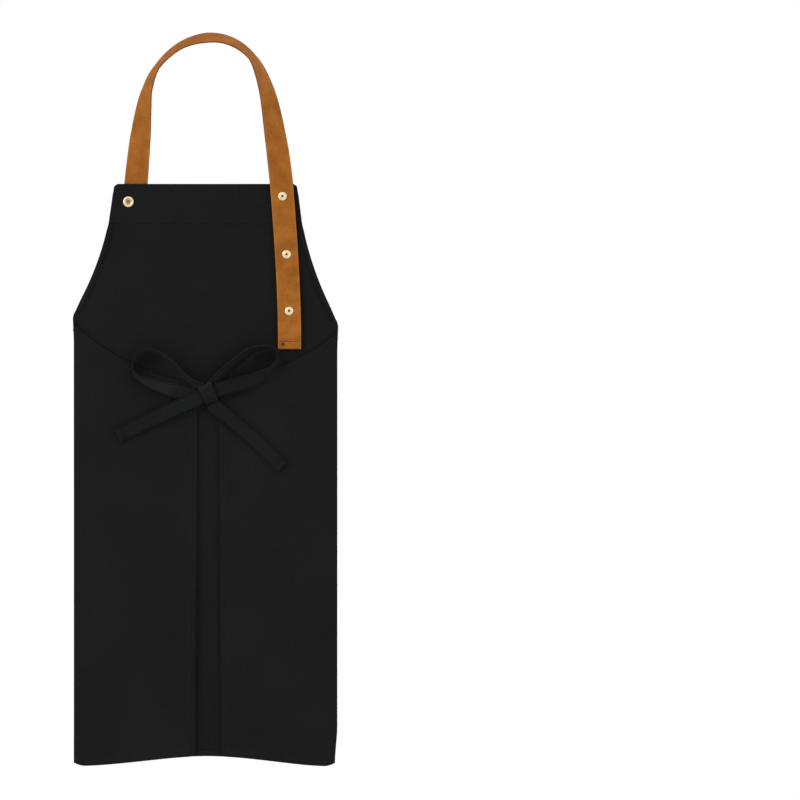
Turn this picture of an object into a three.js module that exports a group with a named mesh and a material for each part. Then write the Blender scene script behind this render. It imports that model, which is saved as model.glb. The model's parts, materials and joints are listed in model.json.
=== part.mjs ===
// Artist's smock apron, hanging by its neck strap and seen from the wearer's side.
// Millimetres. +X is to the viewer's right, +Y points out of the apron's front, +Z is up.
// The origin is the point inside the neck strap where it hangs on a peg.
import * as THREE from 'three';
import { RoundedBoxGeometry } from 'three/addons/geometries/RoundedBoxGeometry.js';

// ---------------------------------------------------------------- driving dimensions

const GAP = 0.3; // air between two pieces that touch
const CLOTH = 0.8; // cotton twill
const LEATHER = 2.0; // neck strap

const STRAP_DROP = 184.5; // peg to the bib's top edge
const BODY_LENGTH = 747; // bib's top edge to the bottom hem, down the middle
const BIB_WIDTH = 239; // along the bib's top edge
const FOLDED_WIDTH = 344; // between the two side folds
const FLAP_GAP = 30; // between the inner edges of the two side flaps
const FLAP_GAP_CENTRE = 3.5; // the gap is a little right of the middle
const HEM_SAG = 12.5; // the side folds hang this much lower than the middle of the hem

const FACING_DEPTH = 50; // hem turned inside along the bib's top
const EDGE_HEM = 6.5; // hem along the armholes and the flaps' inner edges
const BOTTOM_HEM = 8;

const LEFT_ARMHOLE = 165; // height of each armhole below the bib's top edge
const RIGHT_ARMHOLE = 176;
const WAIST_DROP = 262; // bib's top edge down to the flaps' top inner corners
const OPENING_DROP = 321; // bib's top edge down to where the flaps start to swing open
const LEFT_OPENING_FOOT = 125; // where each swinging corner's fold meets the bottom hem
const RIGHT_OPENING_FOOT = 124;
const FLAP_CORNER_DROP = 20; // the turned-over corner lies lower than the armhole's end

const POCKET_WIDTH = 280;
const POCKET_DEPTH = 180;
const POCKET_BOTTOM_DROP = 537; // bib's top edge down to the pocket's bottom seam
const POCKET_BULGE = 11; // how far the pocket's mouth stands open

const STRAP_WIDTH = 30.5;
const LEFT_STRAP_INSET = 28; // bib's side to the middle of the strap
const RIGHT_STRAP_INSET = 20;
const LEFT_STRAP_LEAN = 3.5; // outward drift of the strap's left end, below the bib's top edge
const STRAP_TAIL_LENGTH = 214; // of strap below the bib's top edge
const STRAP_LEAN = 10.5; // sideways drift of the tail over its length
const STRAP_END_HEM = 10.5;
const STRAP_END_SKIVED = 1.0; // thickness of the pared layer folded over the end
const LEG_CLEARANCE = 10; // bib's top edge to the lower ends of the loop
const TAIL_AXIS_DROP = 27.5; // tail's lift axis below the bib's top edge

const SNAP_DROPS = [15.5, 91.5, 165.5]; // snaps down the right strap
const LEFT_SNAP_DROP = 22.5;
const LEFT_SNAP_OFFSET = 7.5; // outward from the middle of the strap
const SNAP_RADIUS = 5.6;
const RING_RADIUS = 7.1;
const SNAP_HEIGHT = 3.0; // space that a closed snap keeps between cloth and strap
const POST_RADIUS = 1.4;
const STUD_RADIUS = 2.0;

const TIE_WIDTH = 18;
const TAIL_GAP = 1.5; // between the knot and the tie tail that lifts from it
const TIE_END_HEM = 8;
const KNOT_DROP = 273; // bib's top edge down to the knot's middle
const KNOT_X = 4;
const KNOT = { width: 20, depth: 11, height: 28, turn: 25, round: 3 };

// ---------------------------------------------------------------- derived places

const BIB_TOP = -STRAP_DROP;
const HEM = BIB_TOP - BODY_LENGTH;
const SIDE = FOLDED_WIDTH / 2;
const BIB_SIDE = BIB_WIDTH / 2;
const LAYER = CLOTH + GAP;

// Layers, each given by its face towards the front: panel, hem, flap's hem, flap, ties.
const PANEL_FRONT = CLOTH;
const HEM_FRONT = PANEL_FRONT - LAYER;
const FLAP_HEM_FRONT = HEM_FRONT - LAYER;
const FLAP_FRONT = FLAP_HEM_FRONT - LAYER;
const TIE_FRONT = FLAP_FRONT - LAYER;
const FLAP_BACK = FLAP_FRONT - CLOTH;
const FACING_BACK = HEM_FRONT - CLOTH;

const FLAP_EDGE = { left: FLAP_GAP_CENTRE - FLAP_GAP / 2, right: FLAP_GAP_CENTRE + FLAP_GAP / 2 };
const WAIST = BIB_TOP - WAIST_DROP;
const OPENING_TOP = BIB_TOP - OPENING_DROP;
const STRAP_X = { left: -(BIB_SIDE - LEFT_STRAP_INSET), right: BIB_SIDE - RIGHT_STRAP_INSET };
const FRONT_STRAP_MIDDLE = PANEL_FRONT + SNAP_HEIGHT + LEATHER / 2;
const BACK_STRAP_MIDDLE = FACING_BACK - SNAP_HEIGHT - LEATHER / 2;
const FOLD_RADIUS = (PANEL_FRONT - FLAP_BACK) / 2;

const apron = new THREE.Group();

// ---------------------------------------------------------------- materials

const twill = () => new THREE.MeshStandardMaterial({ color: 0x1c1c1b, roughness: 0.95 });
const suede = () => new THREE.MeshStandardMaterial({ color: 0xa4692e, roughness: 0.85 });
const brass = () => new THREE.MeshStandardMaterial({
  color: 0xcdb27c, roughness: 0.35, metalness: 1,
});

// ---------------------------------------------------------------- builders

function add(name, geometry, material) {
  const mesh = new THREE.Mesh(geometry, material);
  mesh.name = name;
  apron.add(mesh);
  return mesh;
}

const flat = (x, z) => new THREE.Vector2(x, z);

// A sheet cut to an outline in the XZ plane, with its front face at y = front.
function plate(outline, front, thickness, holes = []) {
  const turnsLeft = !THREE.ShapeUtils.isClockWise(outline);
  const shape = new THREE.Shape(turnsLeft ? outline : outline.toReversed());
  for (const { x, z, radius } of holes) {
    const hole = new THREE.Path();
    hole.absarc(x, z, radius, 0, 2 * Math.PI, true);
    shape.holes.push(hole);
  }
  const options = { depth: thickness, bevelEnabled: false, curveSegments: 8 };
  const geometry = new THREE.ExtrudeGeometry(shape, options);
  geometry.rotateX(Math.PI / 2);
  geometry.translate(0, front, 0);
  return geometry;
}

const bend = (from, control, to, steps) =>
  new THREE.QuadraticBezierCurve(from, control, to).getPoints(steps);

// The points of a line moved sideways, to its left when distance is positive.
function offsetLine(points, distance) {
  return points.map((point, i) => {
    const before = points[Math.max(i - 1, 0)];
    const after = points[Math.min(i + 1, points.length - 1)];
    const along = after.clone().sub(before).normalize();
    return flat(point.x - along.y * distance, point.y + along.x * distance);
  });
}

// The outline of a strip between a line and the same line moved sideways.
function stripOutline(points, fromSide, toSide) {
  return [...offsetLine(points, fromSide), ...offsetLine(points, toSide).reverse()];
}

// A line's part between two distances from its start.
function trimLine(points, start, end) {
  const curve = new THREE.Path(points);
  const length = curve.getLength();
  const kept = points.length * 2;
  const trimmed = [];
  for (let i = 0; i <= kept; i += 1) {
    const distance = start + ((end - start) * i) / kept;
    trimmed.push(curve.getPointAt(THREE.MathUtils.clamp(distance / length, 0, 1)));
  }
  return trimmed;
}

const reachOf = (points) => new THREE.Path(points).getLength();

// A closed solid from a grid of rows of 3-D points, each row a ring of four corners.
function tubeOfRings(rings) {
  const positions = rings.flat().flatMap((p) => [p.x, p.y, p.z]);
  const index = [];
  const last = (rings.length - 1) * 4;
  for (let i = 0; i < last; i += 4) {
    for (let k = 0; k < 4; k += 1) {
      const a = i + k;
      const b = i + ((k + 1) % 4);
      index.push(a, b, b + 4, a, b + 4, a + 4);
    }
  }
  index.push(0, 2, 1, 0, 3, 2, last, last + 1, last + 2, last, last + 2, last + 3);
  const geometry = new THREE.BufferGeometry();
  geometry.setAttribute('position', new THREE.Float32BufferAttribute(positions, 3));
  geometry.setIndex(index);
  return geometry;
}

// A flat band along stations [x, y, z, tilt]. Tilt turns the band's width about its own
// line: at 0 degrees its face points along Y, and at 90 degrees its edge does. The band is
// made between two shares of its line's length, and lift moves it off along its face.
function band(stations, width, thickness, { from = 0, to = 1, steps = 20, lift = 0 } = {}) {
  const line = new THREE.CatmullRomCurve3(
    stations.map(([x, y, z]) => new THREE.Vector3(x, y, z)),
    false,
    'centripetal',
  );
  const rings = [];
  for (let i = 0; i <= steps; i += 1) {
    const share = from + ((to - from) * i) / steps;
    const t = line.getUtoTmapping(share);
    const centre = line.getPoint(t);
    const along = line.getTangent(t);
    const station = Math.min(t * (stations.length - 1), stations.length - 1.000001);
    const here = Math.floor(station);
    const tilt = THREE.MathUtils.degToRad(
      THREE.MathUtils.lerp(stations[here][3], stations[here + 1][3], station - here),
    );
    const inPlane = new THREE.Vector3(-along.z, 0, along.x).normalize();
    const across = inPlane.multiplyScalar(Math.cos(tilt));
    across.y += Math.sin(tilt);
    across.addScaledVector(along, -across.dot(along)).normalize();
    const face = new THREE.Vector3().crossVectors(along, across);
    const corner = (w, h) => centre.clone()
      .addScaledVector(across, (w * width) / 2)
      .addScaledVector(face, (h * thickness) / 2 + lift);
    rings.push([corner(1, 1), corner(-1, 1), corner(-1, -1), corner(1, -1)]);
  }
  return tubeOfRings(rings);
}

// ---------------------------------------------------------------- edges of the cloth

const side = (name) => (name === 'left' ? -1 : 1);
const armholeDrop = { left: LEFT_ARMHOLE, right: RIGHT_ARMHOLE };
const ARMHOLE_EASE = 5.6; // how little the armhole widens over its first half
const ARMHOLE_KNEE = 0.52; // share of the armhole's height where it turns outward
const FLAP_KNEE = { across: 0.66, down: 0.72 }; // where a flap's top edge turns inward
const PANEL_SIDE = SIDE - FOLD_RADIUS - GAP;

// The armhole edge of the front panel, from the bib's top corner down to the side fold.
function armholeEdge(name) {
  const s = side(name);
  const end = BIB_TOP - armholeDrop[name];
  return bend(
    flat(s * BIB_SIDE, BIB_TOP),
    flat(s * (BIB_SIDE + ARMHOLE_EASE), BIB_TOP - armholeDrop[name] * ARMHOLE_KNEE),
    flat(s * PANEL_SIDE, end),
    10,
  );
}

// Height of the bottom edge at a place across the apron: the sides hang lowest.
function hemHeight(x) {
  const out = Math.min(Math.abs(x) / SIDE, 1);
  return HEM - HEM_SAG * Math.sin((out * Math.PI) / 2) ** 2;
}

// The bottom edge between two places across.
function bottomEdge(fromX, toX, steps = 8) {
  const points = [];
  for (let i = 0; i <= steps; i += 1) {
    const x = fromX + ((toX - fromX) * i) / steps;
    points.push(flat(x, hemHeight(x)));
  }
  return points;
}

// The top edge of a side flap, from the side fold down to its inner corner.
function flapTopEdge(name) {
  const s = side(name);
  const foldTop = BIB_TOP - armholeDrop[name] - FLAP_CORNER_DROP;
  const innerTop = flat(FLAP_EDGE[name], WAIST);
  const knee = flat(s * SIDE * FLAP_KNEE.across, foldTop + (WAIST - foldTop) * FLAP_KNEE.down);
  return bend(flat(s * PANEL_SIDE, foldTop), knee, innerTop, 8);
}

// The fold along which a flap's lower inner corner swings open, from top to foot.
const openingFeet = { left: -LEFT_OPENING_FOOT, right: RIGHT_OPENING_FOOT };
const openingFold = (name) => [
  flat(FLAP_EDGE[name], OPENING_TOP),
  flat(openingFeet[name], hemHeight(openingFeet[name])),
];

// ---------------------------------------------------------------- cloth body

const leftEndLength = 2 * LEFT_SNAP_DROP - SNAP_RADIUS;
const leftSnap = {
  x: STRAP_X.left - LEFT_STRAP_LEAN * (LEFT_SNAP_DROP / leftEndLength) - LEFT_SNAP_OFFSET,
  z: BIB_TOP - LEFT_SNAP_DROP,
};
const strapLine = [0, 0.25, 0.5, 0.75, 1].map((share) => flat(
  STRAP_X.right + STRAP_LEAN * Math.sin((share * Math.PI) / 2),
  BIB_TOP - STRAP_TAIL_LENGTH * share,
));
const strapCurve = new THREE.SplineCurve(strapLine);
const rightSnaps = SNAP_DROPS.map((drop) => {
  const at = strapCurve.getPointAt(drop / STRAP_TAIL_LENGTH);
  return { x: at.x, z: at.y };
});
const postHoles = [leftSnap, rightSnaps[0]].map((snap) => ({ ...snap, radius: POST_RADIUS + GAP }));

function buildFrontPanel() {
  const outline = [
    ...armholeEdge('left'),
    ...bottomEdge(-PANEL_SIDE, PANEL_SIDE, 16),
    ...armholeEdge('right').reverse(),
  ];
  add('front_panel', plate(outline, PANEL_FRONT, CLOTH, postHoles), twill());
}

function buildFacing() {
  const upper = (name) => {
    const edge = armholeEdge(name);
    return trimLine(edge, GAP, FACING_DEPTH);
  };
  const outline = [...upper('left'), ...upper('right').reverse()];
  add('bib_facing', plate(outline, HEM_FRONT, CLOTH, postHoles), twill());
}

function buildArmholeHem(name) {
  const edge = armholeEdge(name);
  const below = trimLine(edge, FACING_DEPTH + 2 * GAP, reachOf(edge) - EDGE_HEM);
  const inward = -side(name) * EDGE_HEM;
  add(`${name}_armhole_hem`, plate(stripOutline(below, 0, inward), HEM_FRONT, CLOTH), twill());
}

function buildBottomHem() {
  const inset = PANEL_SIDE - GAP;
  const edge = bottomEdge(-inset, inset, 16);
  add('front_bottom_hem', plate(stripOutline(edge, 0, BOTTOM_HEM), HEM_FRONT, CLOTH), twill());
}

// Half a tube that joins the front panel to a flap at the side.
function buildSideFold(name) {
  const s = side(name);
  const inner = FOLD_RADIUS - CLOTH;
  const middle = (PANEL_FRONT + FLAP_BACK) / 2;
  const centre = flat(s * (SIDE - FOLD_RADIUS), -middle);
  const start = s > 0 ? -Math.PI / 2 : Math.PI / 2;
  const section = new THREE.Shape();
  section.absarc(centre.x, centre.y, FOLD_RADIUS, start, start + Math.PI, false);
  section.absarc(centre.x, centre.y, inner, start + Math.PI, start, true);
  const top = BIB_TOP - armholeDrop[name] - FLAP_CORNER_DROP;
  const bottom = hemHeight(SIDE);
  const options = { depth: top - bottom, bevelEnabled: false, curveSegments: 6 };
  const geometry = new THREE.ExtrudeGeometry(section, options);
  geometry.rotateX(Math.PI);
  geometry.translate(0, 0, top);
  add(`${name}_side_fold`, geometry, twill());
}

// The part of a flap between the side fold and the line where its corner swings open.
function buildFlap(name) {
  const s = side(name);
  const [top, foot] = openingFold(name);
  const outline = [
    ...flapTopEdge(name),
    top,
    foot,
    ...bottomEdge(foot.x, s * PANEL_SIDE).slice(1),
  ];
  add(`${name}_flap`, plate(outline, FLAP_FRONT, CLOTH), twill());

  const topEdge = trimLine(flapTopEdge(name), EDGE_HEM, reachOf(flapTopEdge(name)) - GAP);
  const topHem = stripOutline(topEdge, 0, side(name) * EDGE_HEM);
  add(`${name}_flap_top_hem`, plate(topHem, FLAP_HEM_FRONT, CLOTH), twill());

  const hemLine = bottomEdge(foot.x + s * BOTTOM_HEM, s * (PANEL_SIDE - GAP));
  const bottomHem = stripOutline(hemLine, 0, s * BOTTOM_HEM);
  add(`${name}_flap_bottom_hem`, plate(bottomHem, FLAP_HEM_FRONT, CLOTH), twill());
}

// The lower inner corner of a flap, which swings open about its slanting fold.
function buildSwingingCorner(name) {
  const s = side(name);
  const [top, foot] = openingFold(name);
  const clear = 2 * GAP;
  const edgeX = FLAP_EDGE[name];
  const slope = (foot.x - top.x) / (foot.y - top.y);
  const upper = flat(edgeX, top.y + (clear + GAP) / slope * s);
  const lower = flat(foot.x - s * clear, hemHeight(foot.x));
  const outline = [upper, ...bottomEdge(edgeX, lower.x)];
  add(`${name}_corner`, plate(outline, FLAP_FRONT, CLOTH), twill());

  const edge = [
    flat(edgeX, top.y + (EDGE_HEM + 2) / slope * s),
    flat(edgeX, hemHeight(edgeX) + GAP),
  ];
  const edgeHem = stripOutline(edge, 0, s * EDGE_HEM);
  add(`${name}_corner_edge_hem`, plate(edgeHem, FLAP_HEM_FRONT, CLOTH), twill());

  const hemLine = bottomEdge(edgeX + s * (EDGE_HEM + GAP), lower.x - s * BOTTOM_HEM / 2);
  const bottomHem = stripOutline(hemLine, 0, s * BOTTOM_HEM);
  add(`${name}_corner_bottom_hem`, plate(bottomHem, FLAP_HEM_FRONT, CLOTH), twill());
}

// A patch pocket on the front, sewn down on three sides, with its mouth standing open.
function buildPocket() {
  const across = 12;
  const up = 6;
  const bottom = BIB_TOP - POCKET_BOTTOM_DROP;
  const at = (i, k, depth) => {
    const u = (2 * i) / across - 1;
    const v = k / up;
    const bulge = POCKET_BULGE * (1 - u * u) * Math.sqrt(v);
    return [
      (u * POCKET_WIDTH) / 2,
      PANEL_FRONT + GAP + bulge + depth,
      bottom + v * POCKET_DEPTH,
    ];
  };
  const positions = [];
  for (const depth of [0, CLOTH]) {
    for (let k = 0; k <= up; k += 1) {
      for (let i = 0; i <= across; i += 1) positions.push(...at(i, k, depth));
    }
  }
  const row = across + 1;
  const layer = row * (up + 1);
  const index = [];
  const quad = (a, b, c, d) => index.push(a, b, c, a, c, d);
  for (let k = 0; k < up; k += 1) {
    for (let i = 0; i < across; i += 1) {
      const a = k * row + i;
      quad(a, a + 1, a + 1 + row, a + row);
      quad(layer + a, layer + a + row, layer + a + 1 + row, layer + a + 1);
    }
    const left = k * row;
    const right = left + across;
    quad(left, left + row, left + row + layer, left + layer);
    quad(right, right + layer, right + row + layer, right + row);
  }
  const topRow = up * row;
  for (let i = 0; i < across; i += 1) {
    quad(i, i + layer, i + 1 + layer, i + 1);
    quad(topRow + i, topRow + i + 1, topRow + i + 1 + layer, topRow + i + layer);
  }
  const geometry = new THREE.BufferGeometry();
  geometry.setAttribute('position', new THREE.Float32BufferAttribute(positions, 3));
  geometry.setIndex(index);
  add('front_pocket', geometry, twill());
}

// ---------------------------------------------------------------- neck strap

// Stations of the loop: share of the strap's reach across and of its drop, depth, tilt.
const LEFT_LOOP = [
  [1, 1, 1, 0],
  [0.93, 0.65, 0.6, 28],
  [0.835, 0.33, 0, 62],
  [0.69, 0.166, -0.4, 74],
  [0.364, 0.018, -0.6, 69],
];
const RIGHT_LOOP = [
  [0.335, -0.015, 0.8, 67],
  [0.612, 0.098, 0.8, 72],
  [0.788, 0.302, 0.8, 54],
  [0.925, 0.68, 1, 24],
  [1, 1, 1, 0],
];
const APEX_RISE = 7.2; // middle of the strap above the peg, because the strap leans on it
const APEX_TILT = 62;

function loopStations() {
  const place = (strapX, depth) => ([across, down, deep, tilt]) => [
    strapX * across,
    depth * deep,
    -STRAP_DROP * down,
    tilt,
  ];
  return [
    ...LEFT_LOOP.map(place(STRAP_X.left, FRONT_STRAP_MIDDLE)),
    [0, BACK_STRAP_MIDDLE * 0.7, APEX_RISE, APEX_TILT],
    ...RIGHT_LOOP.map(place(STRAP_X.right, BACK_STRAP_MIDDLE)),
  ];
}

function buildStrap() {
  const stations = loopStations();
  const loopLength = new THREE.CatmullRomCurve3(
    stations.map(([x, y, z]) => new THREE.Vector3(x, y, z)),
    false,
    'centripetal',
  ).getLength();
  const trim = LEG_CLEARANCE / loopLength;
  const loop = band(stations, STRAP_WIDTH, LEATHER, { from: trim, to: 1 - trim, steps: 44 });
  add('strap_loop', loop, suede());

  const postHole = ({ x, z }) => ({ x, z, radius: POST_RADIUS + GAP });
  const half = STRAP_WIDTH / 2;
  const leftEnd = [
    flat(STRAP_X.left, BIB_TOP),
    flat(STRAP_X.left - LEFT_STRAP_LEAN, BIB_TOP - leftEndLength),
  ];
  const leftFront = FRONT_STRAP_MIDDLE + LEATHER / 2;
  const leftOutline = stripOutline(leftEnd, half, -half);
  add('strap_left_end', plate(leftOutline, leftFront, LEATHER, [postHole(leftSnap)]), suede());

  const backFront = BACK_STRAP_MIDDLE + LEATHER / 2;
  const upper = stripOutline(trimLine(strapLine, 0, TAIL_AXIS_DROP - GAP), half, -half);
  const upperHoles = [postHole(rightSnaps[0])];
  add('strap_right_end', plate(upper, backFront, LEATHER, upperHoles), suede());

  const tailLine = trimLine(strapLine, TAIL_AXIS_DROP + 2 * GAP, STRAP_TAIL_LENGTH);
  const tailHoles = rightSnaps.slice(1).map(postHole);
  const tail = stripOutline(tailLine, half, -half);
  add('strap_tail', plate(tail, backFront, LEATHER, tailHoles), suede());

  const endLine = trimLine(strapLine, STRAP_TAIL_LENGTH - STRAP_END_HEM, STRAP_TAIL_LENGTH);
  const end = stripOutline(endLine, half, -half);
  const endFront = backFront - LEATHER - GAP;
  add('strap_tail_end_hem', plate(end, endFront, STRAP_END_SKIVED), suede());
}

// ---------------------------------------------------------------- press studs

const LATHE_SIDES = 20;

// A turned piece about a Y axis through (x, z): its profile is [radius, height] pairs,
// with height measured from y = base towards the strap's side of the cloth.
function turned(name, { x, z }, base, direction, profile) {
  const points = profile.map(([radius, height]) => flat(radius, height));
  const geometry = new THREE.LatheGeometry(points, LATHE_SIDES);
  if (direction < 0) geometry.rotateX(Math.PI);
  const mesh = add(name, geometry, brass());
  mesh.position.set(x, base, z);
}

const STUD_FLANGE = 0.5;

// The stud on the cloth.
const studProfile = () => [
  [0, 0],
  [SNAP_RADIUS - 0.6, 0],
  [SNAP_RADIUS - 0.6, STUD_FLANGE],
  [STUD_RADIUS - 0.4, STUD_FLANGE],
  [STUD_RADIUS, STUD_FLANGE + 0.7],
  [STUD_RADIUS - 0.4, STUD_FLANGE + 1.3],
  [0, STUD_FLANGE + 1.3],
];

// The socket under the strap, a ring that closes on the stud.
const socketProfile = () => {
  const low = STUD_FLANGE + GAP;
  const high = SNAP_HEIGHT - 2 * GAP;
  const bore = STUD_RADIUS + GAP;
  return [[bore, low], [SNAP_RADIUS, low], [SNAP_RADIUS, high], [bore, high], [bore, low]];
};

// The cap on the strap's outer face, with its hollow post down through the strap.
const EYE_RADIUS = 0.8;
const capProfile = () => [
  [EYE_RADIUS, -LEATHER],
  [POST_RADIUS, -LEATHER],
  [POST_RADIUS, GAP],
  [SNAP_RADIUS, GAP],
  [SNAP_RADIUS - 0.3, GAP + 0.4],
  [SNAP_RADIUS * 0.6, GAP + 0.9],
  [EYE_RADIUS + 0.6, GAP + 1.1],
  [EYE_RADIUS, GAP + 0.9],
  [EYE_RADIUS, -LEATHER],
];

// The domed cap on the far side of the cloth, with its post through to the stud.
const backCapProfile = (through) => [
  [0, -through],
  [POST_RADIUS, -through],
  [POST_RADIUS, GAP],
  [SNAP_RADIUS, GAP],
  [SNAP_RADIUS - 0.4, GAP + 0.7],
  [SNAP_RADIUS * 0.5, GAP + 1.2],
  [0, GAP + 1.3],
];

// The open ring that holds the left stud, seen on the bib's facing.
const ringProfile = (through) => [
  [0, -through],
  [POST_RADIUS, -through],
  [POST_RADIUS, GAP],
  [RING_RADIUS, GAP],
  [RING_RADIUS - 0.3, GAP + 0.8],
  [RING_RADIUS - 1.5, GAP + 1.2],
  [RING_RADIUS - 2.8, GAP + 0.8],
  [RING_RADIUS - 3.2, GAP + 0.3],
  [0, GAP + 0.3],
];

function buildSnaps() {
  const through = PANEL_FRONT - FACING_BACK;
  const frontFace = FRONT_STRAP_MIDDLE + LEATHER / 2;
  const backFace = BACK_STRAP_MIDDLE - LEATHER / 2;

  turned('bib_left_stud', leftSnap, PANEL_FRONT + GAP, 1, studProfile());
  turned('bib_left_ring', leftSnap, FACING_BACK, -1, ringProfile(through));
  turned('strap_left_socket', leftSnap, PANEL_FRONT + GAP, 1, socketProfile());
  turned('strap_left_cap', leftSnap, frontFace, 1, capProfile());

  turned('bib_right_stud', rightSnaps[0], FACING_BACK - GAP, -1, studProfile());
  turned('bib_right_cap', rightSnaps[0], PANEL_FRONT, 1, backCapProfile(through));
  const levels = ['upper', 'middle', 'lower'];
  rightSnaps.forEach((snap, i) => {
    turned(`strap_${levels[i]}_socket`, snap, FACING_BACK - GAP, -1, socketProfile());
    turned(`strap_${levels[i]}_cap`, snap, backFace, -1, capProfile());
  });
}

// ---------------------------------------------------------------- ties and bow

const knotZ = BIB_TOP - KNOT_DROP;
const knotMiddle = TIE_FRONT - CLOTH - GAP - KNOT.depth / 2;
const knotTurn = THREE.MathUtils.degToRad(KNOT.turn);

// A place given from the knot's middle, right and up in the plane of the cloth.
const fromKnot = (right, y, up, tilt = 0) => [KNOT_X + right, y, knotZ + up, tilt];

const STANDING = TIE_FRONT - CLOTH - GAP - TIE_WIDTH / 2; // middle of a band standing on edge

const LEFT_BOW = [
  fromKnot(-22, STANDING + 1.2, 13.5, 55),
  fromKnot(-34, STANDING + 0.8, 24.5, 62),
  fromKnot(-49.5, STANDING, 42, 72),
  fromKnot(-65.5, STANDING, 53, 80),
  fromKnot(-80.5, STANDING, 56.3, 86),
  fromKnot(-92.3, STANDING, 51, 90),
  fromKnot(-98.6, STANDING, 39.5, 90),
  fromKnot(-96, STANDING, 27, 80),
  fromKnot(-83, STANDING + 1, 16.5, 58),
  fromKnot(-57, STANDING + 3.6, 6.8, 36),
  fromKnot(-40, STANDING + 4.5, 2.4, 5),
  fromKnot(-23.5, STANDING + 4.4, -1.5, 0),
];
const RIGHT_BOW = [
  fromKnot(19.5, STANDING, 6.8, 174),
  fromKnot(41, STANDING, 12, 166),
  fromKnot(69.5, STANDING, 22, 140),
  fromKnot(84.5, STANDING, 33.5, 112),
  fromKnot(90.5, STANDING, 45.5, 90),
  fromKnot(87.5, STANDING, 57, 82),
  fromKnot(71.5, STANDING, 60.5, 76),
  fromKnot(54.5, STANDING + 0.5, 54.5, 62),
  fromKnot(36, STANDING + 1.5, 41, 50),
  fromKnot(18.5, STANDING + 2, 24, 42),
];

// Where the tie tails leave the knot: the left one from its side, the right from below.
const leftTailOut = KNOT.width / 2 + TAIL_GAP;
const TAILS = {
  left: {
    start: fromKnot(
      -Math.cos(knotTurn) * leftTailOut,
      STANDING + 0.9,
      -Math.sin(knotTurn) * leftTailOut,
    ),
    turn: 180 + KNOT.turn,
    length: 120,
    fall: [0, 0.05, 0.6, 1],
  },
  right: {
    start: fromKnot(10.5, knotMiddle + 1.5, -19),
    turn: -42,
    length: 116,
    fall: [0, 0.4, 0.8, 1],
  },
};
const TAIL_TIP = TIE_FRONT - CLOTH - 1.9; // depth at which the tails' tips hang

// A tail runs straight in the cloth's plane and falls back towards the cloth.
function tailStations({ start, turn, length, fall }) {
  const direction = THREE.MathUtils.degToRad(turn);
  return [0, 0.25, 0.6, 1].map((share, i) => [
    start[0] + Math.cos(direction) * length * share,
    THREE.MathUtils.lerp(start[1], TAIL_TIP, fall[i]),
    start[2] + Math.sin(direction) * length * share,
    0,
  ]);
}

function buildBow() {
  const knot = new RoundedBoxGeometry(KNOT.width, KNOT.depth, KNOT.height, 2, KNOT.round);
  const knotMesh = add('knot_wrap', knot, twill());
  knotMesh.position.set(KNOT_X, knotMiddle, knotZ);
  knotMesh.rotation.y = -knotTurn;

  add('left_bow_loop', band(LEFT_BOW, TIE_WIDTH, CLOTH, { steps: 30 }), twill());
  add('right_bow_loop', band(RIGHT_BOW, TIE_WIDTH, CLOTH, { steps: 30 }), twill());

  for (const [name, tail] of Object.entries(TAILS)) {
    const stations = tailStations(tail);
    add(`${name}_tie_tail`, band(stations, TIE_WIDTH, CLOTH, { steps: 10 }), twill());
    const hem = { from: 1 - TIE_END_HEM / tail.length, to: 1, steps: 2, lift: LAYER };
    add(`${name}_tie_tail_hem`, band(stations, TIE_WIDTH, CLOTH, hem), twill());
  }

  // The sewn ends of the ties, from the flaps' inner edges to the back of the knot.
  const half = TIE_WIDTH / 2;
  const leftEnd = [flat(FLAP_EDGE.left - 2 * EDGE_HEM, knotZ - 16), flat(KNOT_X - 7, knotZ - 5)];
  const rightEnd = [flat(FLAP_EDGE.right + 2 * EDGE_HEM, knotZ - 35), flat(KNOT_X + 5, knotZ - 14)];
  add('left_tie_sewn_end', plate(stripOutline(leftEnd, half, -half), TIE_FRONT, CLOTH), twill());
  add('right_tie_sewn_end', plate(stripOutline(rightEnd, half, -half), TIE_FRONT, CLOTH), twill());
}

// ---------------------------------------------------------------- the whole apron

buildFrontPanel();
buildFacing();
buildBottomHem();
for (const name of ['left', 'right']) {
  buildArmholeHem(name);
  buildSideFold(name);
  buildFlap(name);
  buildSwingingCorner(name);
}
buildPocket();
buildStrap();
buildSnaps();
buildBow();

export default apron;
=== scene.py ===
import bisect
import json
import math
from functools import partial

import bpy
from mathutils import Matrix, Vector, noise


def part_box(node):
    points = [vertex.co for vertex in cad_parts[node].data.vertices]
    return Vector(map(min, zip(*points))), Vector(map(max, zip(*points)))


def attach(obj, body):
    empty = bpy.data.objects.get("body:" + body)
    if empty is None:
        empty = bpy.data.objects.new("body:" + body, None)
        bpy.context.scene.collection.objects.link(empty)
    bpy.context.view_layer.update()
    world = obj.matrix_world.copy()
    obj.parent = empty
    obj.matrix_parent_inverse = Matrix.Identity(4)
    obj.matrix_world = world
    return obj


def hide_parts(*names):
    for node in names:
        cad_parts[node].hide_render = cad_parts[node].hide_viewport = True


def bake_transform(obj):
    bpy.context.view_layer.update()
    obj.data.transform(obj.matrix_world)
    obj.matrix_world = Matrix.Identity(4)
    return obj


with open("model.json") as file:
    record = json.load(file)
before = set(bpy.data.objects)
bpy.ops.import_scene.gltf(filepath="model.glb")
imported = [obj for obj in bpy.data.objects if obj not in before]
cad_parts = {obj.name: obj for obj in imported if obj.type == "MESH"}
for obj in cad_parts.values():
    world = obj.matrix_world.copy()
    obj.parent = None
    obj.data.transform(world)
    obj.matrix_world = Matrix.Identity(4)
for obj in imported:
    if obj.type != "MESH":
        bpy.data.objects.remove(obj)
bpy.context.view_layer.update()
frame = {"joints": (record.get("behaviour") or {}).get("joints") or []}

# ------------------------------------------------------------------ sizes, in metres

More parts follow.
